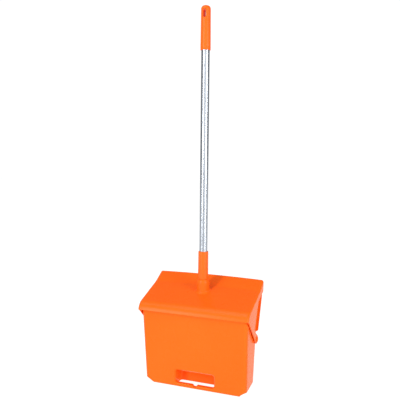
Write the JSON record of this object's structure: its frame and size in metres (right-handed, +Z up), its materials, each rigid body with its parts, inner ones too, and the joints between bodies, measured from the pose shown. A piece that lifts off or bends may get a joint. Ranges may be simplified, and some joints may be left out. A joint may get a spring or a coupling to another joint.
{
  "type": "upright dustpan",
  "caption": "Upright hooded dustpan on a long tube handle, with a pan that hangs on two pins and swings shut under the hood when the handle is lifted.",
  "frame": {"origin": "on the floor, below the middle of the hood's width and depth", "axes": "+X to the right across the pan as seen from the front, +Y from the front wall with the hand slot towards the lip at the back, +Z up the handle"},
  "size_m": [0.3086, 0.158, 1.0118],
  "materials": {
    "hood_plastic": "satin moulded polypropylene",
    "pan_plastic": "satin moulded polypropylene",
    "handle_plastic": "satin moulded polypropylene",
    "pin_plastic": "satin moulded nylon",
    "washer_nylon": "natural nylon",
    "tube_aluminium": "drawn and satin anodised",
    "rivet_aluminium": "domed blind rivet, tumbled",
    "spring_steel": "zinc plated spring steel"
  },
  "bodies": {
    "hood_and_handle": {"hood": "hood_plastic", "ferrule": "handle_plastic", "tube": "tube_aluminium", "grip": "handle_plastic", "ferrule_rivet": "rivet_aluminium", "grip_rivet": "rivet_aluminium", "left_hinge_pin": "pin_plastic", "right_hinge_pin": "pin_plastic", "left_hinge_washer": "washer_nylon", "right_hinge_washer": "washer_nylon", "left_push_nut": "spring_steel", "right_push_nut": "spring_steel"},
    "swinging_pan": {"pan": "pan_plastic"}
  },
  "joints": [
    {"name": "pan_swing", "type": "hinge", "parent": "hood_and_handle", "child": "swinging_pan", "pos_m": [0, 0.018, 0.135], "axis": [-1, 0, 0], "range_deg": [0, 85]}
  ]
}
